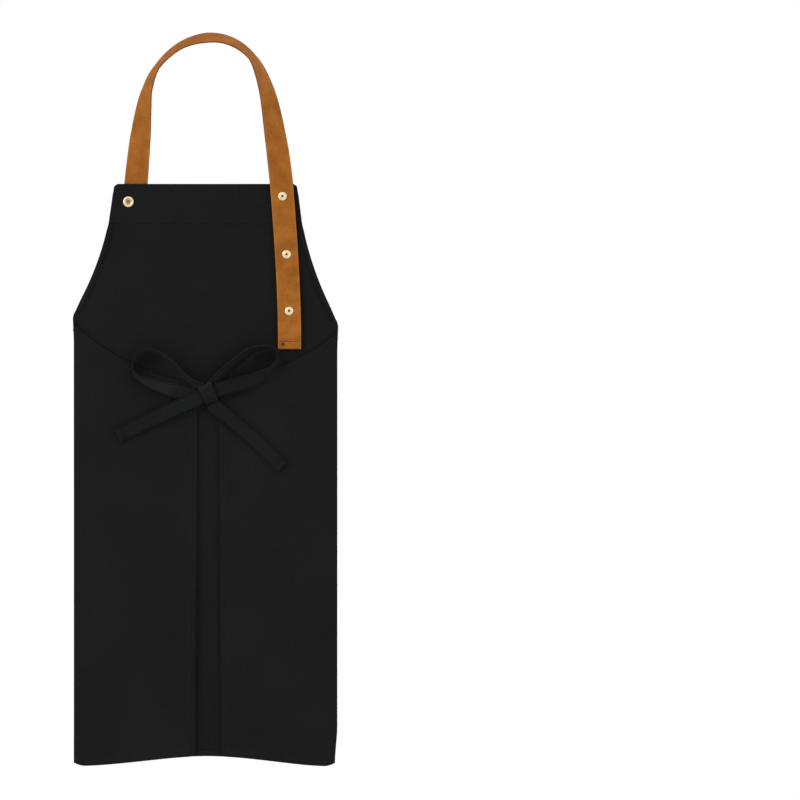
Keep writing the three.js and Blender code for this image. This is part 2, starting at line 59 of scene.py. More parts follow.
MM = 0.001
CLOTH = 0.8 * MM
LEATHER = 2.0 * MM
LAYER = 1.1 * MM  # one thickness of cloth and the air beside it
HEM_TURN = LAYER / 2  # radius of a hem's turned edge

panel_low, panel_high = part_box("front_panel")
BIB_TOP = panel_high.z
HEM_SAG = 12.5 * MM
HEM = panel_low.z + HEM_SAG
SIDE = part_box("right_side_fold")[1].x
BIB_SIDE = 119.5 * MM
ARMHOLE = {-1: 165 * MM, 1: 176 * MM}
ARMHOLE_EASE = 5.6 * MM
ARMHOLE_KNEE = 0.52
BIB_CORNER = 3.6 * MM  # radius of the bib's top corners
FOLD = 1.65 * MM  # radius of the cloth's middle layer round a side fold
FOLD_FLAT = SIDE - FOLD
FOLD_DROP = 20 * MM  # fall of the armhole's edge as it passes round the fold
FLAP_EDGE = {-1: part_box("left_flap")[1].x, 1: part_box("right_flap")[0].x}
WAIST = BIB_TOP - 262 * MM
POCKET_LOW, POCKET_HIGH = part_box("front_pocket")

FACING_DEPTH = 50 * MM
EDGE_HEM = 6.5 * MM
BOTTOM_HEM = 8 * MM
STITCH_INSET = 1.3 * MM  # hem's inner edge to its row of stitches
STITCH_PITCH = 3.1 * MM

PANEL_MIDDLE = CLOTH / 2
STRAP_WIDTH = 30.5 * MM
TIE_WIDTH = 18 * MM
KNOT = (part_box("knot_wrap")[0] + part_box("knot_wrap")[1]) / 2
KNOT_TURN = math.radians(25)

NAMES = {-1: "left", 1: "right"}
JOINT = {j["name"]: j for j in frame["joints"]}


# ------------------------------------------------------------------ small tools

def deselect():
    if bpy.context.object and bpy.context.object.mode != "OBJECT":
        bpy.ops.object.mode_set(mode="OBJECT")
    bpy.ops.object.select_all(action="DESELECT")


def only(piece):
    deselect()
    piece.select_set(True)
    bpy.context.view_layer.objects.active = piece


def edit(piece):
    only(piece)
    bpy.ops.object.mode_set(mode="EDIT")
    bpy.ops.mesh.select_all(action="SELECT")


def smooth(start, end, value):
    t = min(max((value - start) / (end - start), 0.0), 1.0)
    return t * t * (3 - 2 * t)


def mix(a, b, share):
    return a + (b - a) * share


def recalculate(piece):
    edit(piece)
    bpy.ops.mesh.normals_make_consistent(inside=False)
    bpy.ops.object.mode_set(mode="OBJECT")


def soften(piece, degrees=60):
    only(piece)
    bpy.ops.object.shade_smooth_by_angle(angle=math.radians(degrees))


def grid_piece(name, columns, rows, place):
    """A grid bent into place. place(u, v), with u and v from 0 to 1, gives a point, its
    flat place on the cloth, and its distance from the nearest row of stitches."""
    deselect()
    bpy.ops.mesh.primitive_grid_add(x_subdivisions=columns, y_subdivisions=rows, size=1)
    piece = bpy.context.object
    piece.name = piece.data.name = name
    mesh = piece.data
    seam = mesh.attributes.new("seam", "FLOAT", "POINT")
    cloth = []
    for vertex in mesh.vertices:
        point, flat, stitch = place(vertex.co.x + 0.5, vertex.co.y + 0.5)
        vertex.co = point
        seam.data[vertex.index].value = stitch
        cloth.append(flat)
    layer = mesh.uv_layers.active.data
    for loop in mesh.loops:
        layer[loop.index].uv = cloth[loop.vertex_index]
    return piece


def thicken(piece):
    """Give a sheet the cloth's thickness, half of it to each side."""
    only(piece)
    wall = piece.modifiers.new("wall", "SOLIDIFY")
    wall.thickness = CLOTH
    wall.offset = 0
    wall.use_even_offset = True
    bpy.ops.object.modifier_apply(modifier=wall.name)
    recalculate(piece)


def dress(piece, material):
    piece.data.materials.clear()
    piece.data.materials.append(material)


# ------------------------------------------------------------------ materials

class Finish:
    """A material in the making: its nodes and the wires between them."""

    def __init__(self, name):
        self.material = bpy.data.materials.new(name)
        self.material.use_nodes = True
        self.nodes = self.material.node_tree.nodes
        self.wires = self.material.node_tree.links
        self.shader = self.nodes["Principled BSDF"]
        coordinates = self.add("TexCoord")
        self.place = coordinates.outputs["Object"]
        self.facing = coordinates.outputs["Normal"]

    def add(self, kind, wired=None, **values):
        """A node with its settings. wired holds what comes into its sockets."""
        node = self.nodes.new("ShaderNode" + kind)
        for key, value in values.items():
            if hasattr(node, key):
                setattr(node, key, value)
            else:
                node.inputs[key.replace("_", " ").title()].default_value = value
        for socket, source in (wired or {}).items():
            self.wires.new(source, node.inputs[socket])
        return node

    def texture(self, kind, where, **values):
        return self.add("Tex" + kind, {"Vector": where}, **values).outputs["Fac"]

    def ramp(self, source, *stops):
        node = self.add("ValToRGB", {"Fac": source})
        elements = node.color_ramp.elements
        while len(elements) < len(stops):
            elements.new(0.5)
        for element, (position, colour) in zip(elements, stops):
            element.position = position
            element.color = (*colour, 1)
        return node.outputs["Color"]

    def multiply(self, base, by, share=1.0):
        node = self.add("Mix", {6: base, 7: by}, data_type="RGBA", blend_type="MULTIPLY")
        node.inputs[0].default_value = share
        return node.outputs[2]

    def from_seam(self, reach):
        """Distance from the seam or edge that a piece carries, as a share of a reach."""
        seam = self.add("Attribute", attribute_name="seam").outputs["Fac"]
        share = self.add("Math", {0: seam}, operation="DIVIDE")
        share.inputs[1].default_value = reach
        return share.outputs[0]

    def bump(self, height, strength, distance, under=None):
        wired = {"Height": height} if under is None else {"Height": height, "Normal": under}
        return self.add("Bump", wired, strength=strength, distance=distance).outputs["Normal"]

    def cover(self, colour, normal=None):
        self.wires.new(colour, self.shader.inputs["Base Color"])
        if normal is not None:
            self.wires.new(normal, self.shader.inputs["Normal"])

    def roughen(self, source, low, high):
        spread = self.add("MapRange", {"Value": source}, to_min=low, to_max=high)
        self.wires.new(spread.outputs["Result"], self.shader.inputs["Roughness"])

    def even(self, **values):
        """Settings that are the same all over the surface, by the shader's socket names."""
        for name, value in values.items():
            name = name.replace("_", " ").title().replace("Ior", "IOR")
            self.shader.inputs[name].default_value = value


def grey(value):
    return (value, value, value)


def black_dye(value):
    """Black cotton dye has a slight green cast."""
    return (value, value * 1.05, value * 1.025)


def twill_material(name, dark, light, fuzz, top_highlight_gain=1.0):
    """Black cotton twill: slanting ribs, a crossing weft, lint and a puckered stitch line, with
    painted shade in its furrow and a painted highlight on its rims. Faces turned upward are painted
    paler, a painted highlight from light falling from above."""
    twill = Finish(name)
    flat = twill.add("UVMap").outputs["UV"]
    ribs = twill.texture("Wave", flat, bands_direction="DIAGONAL", scale=520.0, distortion=0.6,
                         detail_scale=2.0)
    weft = twill.texture("Wave", flat, bands_direction="Y", scale=420.0, distortion=1.2)
    weave = twill.add("Mix", {2: ribs, 3: weft}, data_type="FLOAT")
    weave.inputs[0].default_value = 0.3
    weave = weave.outputs[0]
    slub = twill.texture("Noise", flat, scale=260.0, detail=3.0)

    cloudy = twill.texture("Noise", twill.place, scale=9.0, detail=5.0)
    colour = twill.multiply(twill.ramp(cloudy, (0.3, dark), (0.7, light)), weave, 0.45)
    lint = twill.ramp(slub, (0.0, grey(0.85)), (0.55, grey(1.0)), (0.8, grey(1.35)))
    colour = twill.multiply(colour, lint)

    # The stitch line: a soft furrow with painted shade in it, and a raised rim on each side with a
    # painted highlight.
    reach = twill.from_seam(4 * MM)
    furrow = twill.ramp(
        reach, (0.0, grey(0.0)), (0.22, grey(0.35)), (0.45, grey(1.0)), (1.0, grey(0.75)))
    furrow_shade_rim_highlight = twill.ramp(
        reach, (0.0, grey(0.45)), (0.2, grey(0.9)), (0.4, grey(1.18)), (0.8, grey(1.0)))
    # Painted highlight: faces turned upward are painted paler, for light falling from above.
    upward = twill.add("SeparateXYZ", {0: twill.facing}).outputs["Z"]
    painted_top_highlight = twill.ramp(upward, (0.1, grey(1.0)), (0.6, grey(top_highlight_gain)))
    colour = twill.multiply(twill.multiply(colour, furrow_shade_rim_highlight), painted_top_highlight)

    creases = twill.texture("Noise", twill.place, scale=30.0, detail=6.0)
    relief = twill.bump(creases, 0.35, 1.2 * MM)
    relief = twill.bump(furrow, 0.6, 0.5 * MM, relief)
    relief = twill.bump(weave, 0.55, 0.12 * MM, relief)
    twill.cover(colour, relief)
    twill.roughen(slub, 0.86, 0.98)
    twill.even(specular_ior_level=0.05, sheen_weight=fuzz, sheen_roughness=0.5,
               sheen_tint=(0.6, 0.62, 0.6, 1))
    return twill.material


def suede_material():
    """Tan suede leather: cloudy dye, a fine nap, darker cut edges and a painted highlight beside
    them.
    """
    suede = Finish("strap_suede")
    clouds = suede.texture("Noise", suede.place, scale=45.0, detail=6.0, roughness=0.62)
    nap = suede.texture("Noise", suede.place, scale=620.0, detail=4.0, roughness=0.7)
    pores = suede.add("TexVoronoi", {"Vector": suede.place}, scale=900.0).outputs["Distance"]

    dye = suede.ramp(
        clouds,
        (0.25, (0.215, 0.069, 0.009)),
        (0.5, (0.305, 0.102, 0.015)),
        (0.75, (0.378, 0.140, 0.023)),
    )
    speckle = suede.ramp(nap, (0.25, grey(0.72)), (0.5, grey(1.0)), (0.75, grey(1.22)))
    # The cut edge is darker, and the face beside it is painted paler, a painted highlight along the
    # rounded edge.
    dark_edge_and_painted_highlight = suede.ramp(
        suede.from_seam(2 * MM),
        (0.0, (0.42, 0.38, 0.36)),
        (0.12, (0.5, 0.46, 0.42)),
        (0.3, (1.35, 1.45, 1.5)),
        (0.5, (1.3, 1.4, 1.45)),
        (0.9, grey(1.0)),
    )
    colour = suede.multiply(suede.multiply(dye, speckle, 0.8), dark_edge_and_painted_highlight, 0.9)
    grain = suede.bump(pores, 0.5, 0.15 * MM)
    suede.cover(colour, suede.bump(nap, 0.5, 0.2 * MM, grain))
    suede.roughen(nap, 0.68, 0.92)
    suede.even(specular_ior_level=0.08, sheen_weight=0.02, sheen_roughness=0.4,
               sheen_tint=(0.9, 0.7, 0.45, 1))
    return suede.material


def brass_material():
    """Pale, lightly lacquered brass with dull spots, and bare brown metal in a stud's hole."""
    brass = Finish("stud_brass")
    spots = brass.texture("Noise", brass.place, scale=420.0, detail=4.0)
    tarnish = brass.ramp(spots, (0.3, (0.62, 0.47, 0.25)), (0.6, (0.86, 0.74, 0.50)))
    core = brass.add("Attribute", attribute_name="seam").outputs["Fac"]
    hollow = brass.ramp(core, (0.72, grey(1.0)), (0.98, grey(0.0)))
    aged = brass.add("Mix", {0: hollow, 6: tarnish}, data_type="RGBA")
    aged.inputs[7].default_value = (0.30, 0.16, 0.06, 1)
    brass.cover(aged.outputs[2], brass.bump(spots, 0.25, 0.05 * MM))
    brass.roughen(spots, 0.22, 0.46)
    brass.even(metallic=1.0)
    return brass.material


def thread_material(name, low, high):
    """Twisted sewing thread."""
    thread = Finish(name)
    twist = thread.texture("Wave", thread.place, bands_direction="DIAGONAL", scale=900.0)
    thread.cover(thread.ramp(twist, (0.2, low), (0.9, high)))
    thread.even(roughness=0.8, specular_ior_level=0.05)
    return thread.material


TWILL = twill_material("black_twill", black_dye(0.0102), black_dye(0.0127), 0.018)
# The ties' faces turned upward get a stronger painted highlight.
TAPE = twill_material("tie_twill", black_dye(0.0102), black_dye(0.0129), 0.022, top_highlight_gain=2.0)
SUEDE = suede_material()
BRASS = brass_material()
BLACK_THREAD = thread_material("black_thread", grey(0.003), grey(0.008))
BROWN_THREAD = thread_material("brown_thread", (0.022, 0.010, 0.004), (0.06, 0.026, 0.009))


# ------------------------------------------------------------------ the hanging cloth

BIB_SLACK, SLACK_REACH = 2.0 * MM, 200 * MM
LONG_FOLDS = (  # depth, width and height of a wave, and its phase
    (3.6 * MM, 0.235, math.inf, 0.7),
    (1.7 * MM, 0.118, 0.9, 2.0),
)
RIPPLE = 0.8 * MM


def sway(x, z):
    """How far the hanging cloth stands forward of a flat plane: slack between the two
    ends of the strap, and long soft folds that grow towards the hem."""
    drop = BIB_TOP - z
    slack = BIB_SLACK * math.cos(math.pi * x / SLACK_REACH) * (1 - smooth(0, SLACK_REACH, drop))
    folds = sum(deep * math.sin(2 * math.pi * (x / wide + z / high) + phase)
                for deep, wide, high, phase in LONG_FOLDS)
    ripple = RIPPLE * noise.noise(Vector((x * 14, 0.3, z * 7)))
    return slack + folds * smooth(0.22, 0.75, drop) + ripple * smooth(0.02, 0.12, drop)


def panel_depth(x, z):
    return PANEL_MIDDLE + sway(x, z)


def roll(side, z):
    """Radius of a side fold: open at its top corner, where the turned hem is stiff."""
    opening = 1.3 * MM
    return FOLD + opening * (1 - smooth(0, 45 * MM, BIB_TOP - z - ARMHOLE[side]))


def flap_depth(side, x, z):
    """A flap lies behind the panel, close at its fold and at the waist, and looser below."""
    stand_off, puff = 0.9 * MM, 2.6 * MM
    inward = smooth(0, 50 * MM, FOLD_FLAT - abs(x))
    open_fold = 2 * (roll(side, z) - FOLD) * (1 - inward)
    below = smooth(30 * MM, 300 * MM, WAIST - z)
    wave = 0.5 + 0.5 * math.sin(2 * math.pi * (abs(x) / 0.16 + z / 1.1) + side)
    lift = (stand_off + puff * wave) * inward * below
    return panel_depth(x, z) - 2 * FOLD - lift - open_fold


def hem_height(x):
    """The bottom edge hangs lower towards the sides, and turns up a little at each corner."""
    out = min(abs(x) / SIDE, 1)
    corner = 3 * MM * smooth(SIDE - 14 * MM, SIDE, abs(x))
    return HEM - HEM_SAG * math.sin(out * math.pi / 2) ** 2 + corner


def hang(x, y, z, flap=0):
    """The last touch to every point of the cloth: the right fold is drawn in at its foot,
    and the inner edge of a flap (-1 left, 1 right) drifts outward towards the hem."""
    foot = 3 * MM * smooth(HEM + 40 * MM, HEM - 10 * MM, z) * max(x / SIDE, 0) ** 6
    inner = 1 - smooth(20 * MM, 160 * MM, abs(x))
    drift = 2.4 * MM * smooth(0.3, 0.745, BIB_TOP - z) * inner
    return Vector((x - foot + flap * drift, y, z))


def armhole_x(side, drop):
    """Half the bib's width at a drop below its top edge, down to the side fold. The
    corner at the top is turned a little round."""
    share = min(max(drop / ARMHOLE[side], 0), 1)
    bow = 1 - 2 * ARMHOLE_KNEE
    t = (math.sqrt(ARMHOLE_KNEE ** 2 + bow * share) - ARMHOLE_KNEE) / bow
    ease = BIB_SIDE + ARMHOLE_EASE
    curve = (1 - t) ** 2 * BIB_SIDE + 2 * t * (1 - t) * ease + t * t * FOLD_FLAT
    fuller = 1.2 * MM * smooth(0, 20 * MM, drop) * (1 - smooth(30 * MM, 70 * MM, drop))
    above = min(max(BIB_CORNER - drop, 0), BIB_CORNER)
    return curve + fuller - BIB_CORNER + math.sqrt(BIB_CORNER ** 2 - above ** 2)


QUARTER = FOLD * math.pi / 2  # cloth in half of a side fold
FOLD_COLUMNS = 5
CREST_LAP = 0.05  # radians that the two cloths of a fold run past its crest, to close it
CROWDING = 1.3  # how the grid's rows crowd towards the bib's rounded corners
TURN_COLUMNS = 6


def cloth_half(side, z):
    """Half the front cloth's width at a height, along the cloth to the fold's crest."""
    drop = BIB_TOP - z
    past = min(max((drop - ARMHOLE[side]) / (FOLD_DROP / 2), 0), 1)
    return armhole_x(side, drop) + QUARTER * past


def fold_column(u, columns, wide, narrow):
    """The place across a sheet for grid column u, with FOLD_COLUMNS kept for the fold."""
    fold_share = FOLD_COLUMNS / columns
    if u < fold_share:
        return narrow * u / fold_share
    return narrow + (wide - narrow) * (u - fold_share) / (1 - fold_share)


def cloth_piece(name, columns, rows, place, material=TWILL):
    """A piece of twill, and its flat area, taken before it gets its thickness."""
    piece = grid_piece(name, columns, rows, place)
    area = sum(face.area for face in piece.data.polygons)
    thicken(piece)
    soften(piece)
    dress(piece, material)
    return piece, area


def build_front():
    columns, rows = 76, 150

    def place(u, v):
        side = -1 if u < 0.5 else 1
        z = mix(BIB_TOP, HEM, (1 - v) ** CROWDING)
        half = cloth_half(side, z)
        inset = fold_column(1 - abs(2 * u - 1), columns / 2, half, QUARTER)
        along = half - inset
        beyond = max(along - FOLD_FLAT, 0) / FOLD * (1 + CREST_LAP / (math.pi / 2))
        radius = roll(side, z)
        x = side * (min(along, FOLD_FLAT) + radius * math.sin(beyond))
        z -= (HEM - hem_height(x)) * (1 - v) ** 4
        y = panel_depth(x, z) - radius * (1 - math.cos(beyond))
        stitch = min(
            abs(BIB_TOP - z - FACING_DEPTH + STITCH_INSET),
            abs(z - hem_height(x) - BOTTOM_HEM + STITCH_INSET),
            abs(inset - EDGE_HEM + STITCH_INSET) if BIB_TOP - z < ARMHOLE[side] else 1,
        )
        return hang(x, y, z), (side * along, z), stitch

    piece, area = cloth_piece("front_cloth", columns, rows, place)
    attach(piece, "apron_body")
    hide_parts("front_panel")
    return piece, area


def turn_over(column, columns, width, crowding=1):
    """How far into the cloth, and how far lifted off it, a column of a turned hem is."""
    if column < TURN_COLUMNS:
        angle = math.pi * column / TURN_COLUMNS
        return -HEM_TURN * math.sin(angle), HEM_TURN * (1 - math.cos(angle))
    share = (column - TURN_COLUMNS) / (columns - TURN_COLUMNS)
    return width * share ** crowding, 2 * HEM_TURN


def turned_hem(name, width, line, surface, face, rows, flap=0):
    """A hem folded over at the cloth's edge. line(v) gives a point of the edge in the XZ
    plane and the way into the cloth; surface(x, z) is the cloth's depth; face says to
    which side the hem is turned."""
    columns = TURN_COLUMNS + 4

    def place(u, v):
        (x, z), (in_x, in_z) = line(v)
        inward, lift = turn_over(u * columns, columns, width)
        x, z = x + in_x * inward, z + in_z * inward
        y = surface(x, z) + face * lift
        return hang(x, y, z, flap), (x, z), abs(width - STITCH_INSET - inward)

    return cloth_piece(name, columns, rows, place)[0]


def armhole_line(side):
    """The armhole's edge, from just under the facing down to the side fold."""
    top, bottom = FACING_DEPTH + 0.4 * MM, ARMHOLE[side] - 1.5 * MM
    taper, bulge = 14 * MM, HEM_TURN + CLOTH / 2
    step = 1 * MM

    def line(v):
        drop = mix(top, bottom, v)
        ahead, behind = armhole_x(side, drop + step), armhole_x(side, drop - step)
        slope = (ahead - behind) / (2 * step)
        length = math.hypot(1, slope)
        from_end = min(drop - top, bottom - drop)
        x = armhole_x(side, drop) - bulge * (1 - smooth(0, taper, from_end))
        return (side * x, BIB_TOP - drop), (-side / length, -slope / length)

    return line


def build_front_hems():
    facing_columns = TURN_COLUMNS + 14

    def facing_place(u, v):
        drop, lift = turn_over(u * facing_columns, facing_columns, FACING_DEPTH, CROWDING)
        x = mix(-1, 1, v)
        x *= armhole_x(-1 if x < 0 else 1, max(drop, 0))
        z = BIB_TOP - drop
        y = panel_depth(x, min(z, BIB_TOP)) - lift
        return hang(x, y, z), (x, z), abs(FACING_DEPTH - STITCH_INSET - drop)

    def bottom(v):
        x = mix(-FOLD_FLAT + 1 * MM, FOLD_FLAT - 1 * MM, v)
        return (x, hem_height(x)), (0, 1)

    facing, _ = cloth_piece("bib_facing_cloth", facing_columns, 60, facing_place)
    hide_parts("bib_facing")
    pieces = [facing]
    for side, name in NAMES.items():
        hem = turned_hem(f"{name}_armhole_turning", EDGE_HEM, armhole_line(side), panel_depth, -1, 40)
        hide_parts(f"{name}_armhole_hem")
        pieces.append(hem)
    hem = turned_hem("front_bottom_turning", BOTTOM_HEM, bottom, panel_depth, -1, 80)
    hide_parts("front_bottom_hem")
    pieces.append(hem)
    for piece in pieces:
        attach(piece, "apron_body")
    return pieces


def flap_top(side, x):
    """Height of a flap's top edge at a place across: a curve from the side fold, by a knee,
    down to the waist."""
    fold_top = BIB_TOP - ARMHOLE[side] - FOLD_DROP
    out, knee, inner = FOLD_FLAT, SIDE * 0.66, side * FLAP_EDGE[side]
    a, b, c = out - 2 * knee + inner, 2 * (knee - out), out - side * x
    t = (-b - math.sqrt(max(b * b - 4 * a * c, 0))) / (2 * a)
    knee_z = mix(fold_top, WAIST, 0.72)
    return (1 - t) ** 2 * fold_top + 2 * t * (1 - t) * knee_z + t * t * WAIST


def blend_flap(piece, side):
    """Bakes the piece's placement into its mesh. The corner's joint and its slanting fold are looked
    up, but nothing is made to swing about them.
    """
    joint = JOINT[f"{NAMES[side]}_corner_open"]
    hinge, axis = Vector(joint["pos_m"]), Vector(joint["axis"])
    inward = axis.cross(Vector((0, -1, 0)))
    if inward.x * side > 0:
        inward = -inward
    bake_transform(piece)


def build_flap(side):
    columns, rows = 40, 120
    name, inner = NAMES[side], FLAP_EDGE[side]
    width = FOLD_FLAT - side * inner
    weave_start = 0.7  # the turned-back cloth shows its other side, so its weave runs from here
    step = 1 * MM

    def place(u, v):
        across = fold_column(u, columns, QUARTER + width, QUARTER)
        angle = mix(-CREST_LAP, math.pi / 2, min(across / QUARTER, 1))
        inward = max(across - QUARTER, 0)
        edge_x = side * (FOLD_FLAT - inward)
        top = flap_top(side, edge_x) + FOLD_DROP / 2 * (1 - min(across / QUARTER, 1))
        z = mix(hem_height(edge_x), top, v)
        radius = roll(side, z)
        x = edge_x + side * radius * math.cos(angle)
        if across < QUARTER:
            y = panel_depth(x, z) - radius - radius * math.sin(angle)
        else:
            y = flap_depth(side, x, z)
        stitch = min(
            abs(QUARTER + width - across - EDGE_HEM + STITCH_INSET),
            abs(top - z - EDGE_HEM + STITCH_INSET) if inward > 2 * MM else 1,
            abs(z - hem_height(x) - BOTTOM_HEM + STITCH_INSET),
        )
        return hang(x, y, z, side), (weave_start - x, z), stitch

    def inner_edge(v):
        return (inner, mix(hem_height(inner) + 1 * MM, WAIST - 1 * MM, v)), (side, 0)

    def top_edge(v):
        x = side * mix(FOLD_FLAT - 1 * MM, side * inner + EDGE_HEM, v)
        slope = (flap_top(side, x + step) - flap_top(side, x - step)) / (2 * step)
        length = math.hypot(1, slope)
        return (x, flap_top(side, x)), (slope / length, -1 / length)

    def bottom_edge(v):
        x = side * mix(FOLD_FLAT - 1 * MM, side * inner + EDGE_HEM, v)
        return (x, hem_height(x)), (0, 1)

    piece, area = cloth_piece(f"{name}_flap_cloth", columns, rows, place)
    blend_flap(piece, side)
    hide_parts(f"{name}_flap", f"{name}_side_fold", f"{name}_corner")
    surface = partial(flap_depth, side)
    hems = [
        turned_hem(f"{name}_flap_edge_turning", EDGE_HEM, inner_edge, surface, 1, 90, side),
        turned_hem(f"{name}_flap_top_turning", EDGE_HEM, top_edge, surface, 1, 36, side),
        turned_hem(f"{name}_flap_bottom_turning", BOTTOM_HEM, bottom_edge, surface, 1, 40, side),
    ]
    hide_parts(f"{name}_corner_edge_hem")
    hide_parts(f"{name}_flap_top_hem")
    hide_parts(f"{name}_flap_bottom_hem", f"{name}_corner_bottom_hem")
    for hem in hems:
        blend_flap(hem, side)
    return piece, area, hems


# ------------------------------------------------------------------ the pocket

POCKET_BULGE = 11 * MM
POCKET_HEM = 14 * MM
POCKET_SEAM = 2 * MM


def pocket_place(u, v, lift=0.0):
    """A point of the pocket: sewn down at its sides and foot, open at the mouth."""
    x = mix(POCKET_LOW.x, POCKET_HIGH.x, u)
    z = mix(POCKET_LOW.z, POCKET_HIGH.z, v)
    out = (1 - (2 * u - 1) ** 2) * math.sqrt(max(v, 0))
    z -= 3 * MM * math.sin(math.pi * u) * v ** 3
    y = panel_depth(x, z) + LAYER + POCKET_BULGE * out + lift
    return Vector((x, y, z))


def build_pocket():
    width, height = POCKET_HIGH.x - POCKET_LOW.x, POCKET_HIGH.z - POCKET_LOW.z
    columns, rows, hem_rows = 60, 44, 12

    def place(u, v):
        point = pocket_place(u, v)
        stitch = min(
            abs(u * width - POCKET_SEAM),
            abs((1 - u) * width - POCKET_SEAM),
            abs(v * height - POCKET_SEAM),
            abs((1 - v) * height - POCKET_HEM + STITCH_INSET),
        )
        return point, (point.x, point.z), stitch

    def turning(u, v):
        down, lift = turn_over(v * hem_rows, hem_rows, POCKET_HEM)
        point = pocket_place(mix(0.006, 0.994, u), 1 - max(down, 0) / height, -lift)
        point.z += max(-down, 0)
        return point, (point.x, point.z), abs(POCKET_HEM - STITCH_INSET - down)

    pocket, area = cloth_piece("pocket_cloth", columns, rows, place)
    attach(pocket, "apron_body")
    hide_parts("front_pocket")
    hem, _ = cloth_piece("pocket_mouth_turning", columns, hem_rows, turning)
    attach(hem, "apron_body")
    return pocket, area, hem


# ------------------------------------------------------------------ bands

class Band:
    """A flat band along stations (x, y, z, tilt) in millimetres and degrees. Tilt turns the
    band's width about its own line, from flat in the XZ plane at 0 to edge-on at 90."""

    SAMPLES = 24  # to each span between two stations

    def __init__(self, stations, width):
        self.width = width
        points = [Vector(s[:3]) * MM for s in stations]
        self.samples = []
        spans = len(points) - 1
        for i in range(spans * self.SAMPLES + 1):
            t = i / self.SAMPLES
            here = min(int(t), spans - 1)
            tilt = mix(stations[here][3], stations[here + 1][3], t - here)
            self.samples.append((self.spline(points, t), math.radians(tilt)))
        self.reach = [0.0]
        for (a, _), (b, _) in zip(self.samples, self.samples[1:]):
            self.reach.append(self.reach[-1] + (b - a).length)
        self.length = self.reach[-1]

    @staticmethod
    def spline(points, t):
        """A smooth curve through the points, which doesn't swing out where they crowd."""
        here = min(int(t), len(points) - 2)
        w = t - here
        p1, p2 = points[here], points[here + 1]
        p0 = points[here - 1] if here else 2 * p1 - p2
        p3 = points[here + 2] if here + 2 < len(points) else 2 * p2 - p1
        a, b, c = (max(math.sqrt((q - p).length), 1e-6) for p, q in ((p0, p1), (p1, p2), (p2, p3)))
        leave = ((p1 - p0) / a - (p2 - p0) / (a + b) + (p2 - p1) / b) * b
        arrive = ((p2 - p1) / b - (p3 - p1) / (b + c) + (p3 - p2) / c) * b
        bend = 3 * (p2 - p1) - 2 * leave - arrive
        return p1 + leave * w + bend * w ** 2 + (2 * (p1 - p2) + leave + arrive) * w ** 3

    def at(self, distance, across=0.0, lift=0.0):
        """The point at a distance along, across from -1 to 1, and lifted off the face;
        with the directions along, across and out of the face."""
        i = min(max(bisect.bisect(self.reach, distance) - 1, 0), len(self.samples) - 2)
        share = (distance - self.reach[i]) / (self.reach[i + 1] - self.reach[i])
        (a, tilt_a), (b, tilt_b) = self.samples[i], self.samples[i + 1]
        before = self.samples[max(i - 1, 0)][0]
        after = self.samples[min(i + 2, len(self.samples) - 1)][0]
        along = mix((b - before).normalized(), (after - a).normalized(), share).normalized()
        tilt = mix(tilt_a, tilt_b, share)
        wide = Vector((-along.z, 0, along.x)).normalized() * math.cos(tilt)
        wide += Vector((0, math.sin(tilt), 0))
        wide = (wide - along * wide.dot(along)).normalized()
        face = along.cross(wide)
        centre = mix(a, b, share)
        return centre + wide * (across * self.width / 2) + face * lift, along, wide, face


TIE_SEAM = 1.6 * MM  # a tie's edge to the crease of its seam


def tie_piece(name, band, columns, rows, crown=0.0, wobble=0.0, start=0.0, lift=0.0):
    """A tie's cloth along a band, from a distance along it to its end."""

    def place(u, v):
        across = 2 * u - 1
        distance = mix(start, band.length, v)
        point, _, _, face = band.at(distance, across, crown * (1 - across * across) + lift)
        point += face * wobble * noise.noise(point * 45)
        from_edge = (1 - abs(across)) * band.width / 2
        return point, (across * band.width / 2, distance), abs(from_edge - TIE_SEAM)

    return cloth_piece(name, columns, rows, place, TAPE)[0]


def rounded_section(width, thickness, corner):
    """Points round the section of a strip, as (across, lift) pairs."""
    columns, arc = 8, 3  # points along a face and round a corner
    half_width, half_thick = width / 2 - corner, thickness / 2 - corner
    points = []
    for quarter, (sx, sy) in enumerate(((1, 1), (-1, 1), (-1, -1), (1, -1))):
        for i in range(arc + 1):
            angle = (quarter + i / arc) * math.pi / 2
            points.append((sx * half_width + corner * math.cos(angle),
                           sy * half_thick + corner * math.sin(angle)))
        if quarter in (0, 2):
            points += [(sx * half_width * (1 - 2 * i / columns), sy * thickness / 2)
                       for i in range(1, columns)]
    return points


def strip_piece(name, path, rows, section):
    """A closed strip of leather. path(v) gives a point and the across and lift ways."""
    count = len(section)

    def place(u, v):
        across, lift = section[round(u * count) % count]
        point, wide, face = path(v)
        return point + wide * across + face * lift, (across, v), STRAP_WIDTH / 2 - abs(across)

    piece = grid_piece(name, count, rows, place)
    edit(piece)
    bpy.ops.mesh.remove_doubles(threshold=0.005 * MM)
    bpy.ops.mesh.select_all(action="SELECT")
    bpy.ops.mesh.fill_holes(sides=0)
    bpy.ops.object.mode_set(mode="OBJECT")
    recalculate(piece)
    soften(piece, 50)
    dress(piece, SUEDE)
    return piece


# ------------------------------------------------------------------ rows of stitches

STITCH_LENGTH = 2.3 * MM
STITCH_THICK = 0.42 * MM
STITCH_PROUD = 0.1 * STITCH_THICK  # the middle of a stitch stands above the cloth by this


def stitch_bead():
    """One stitch, lying along X: a short thread that dips into the cloth at its ends."""
    deselect()
    bpy.ops.mesh.primitive_uv_sphere_add(segments=6, ring_count=5, radius=1)
    bead = bpy.context.object
    bead.name = "stitch_bead"
    edit(bead)
    bpy.ops.transform.rotate(value=math.pi / 2, orient_axis="Y", center_override=(0, 0, 0))
    size = (STITCH_LENGTH / 2, STITCH_THICK / 2, STITCH_THICK / 2)
    bpy.ops.transform.resize(value=size, center_override=(0, 0, 0))
    bpy.ops.object.mode_set(mode="OBJECT")
    return bead


BEAD = stitch_bead()


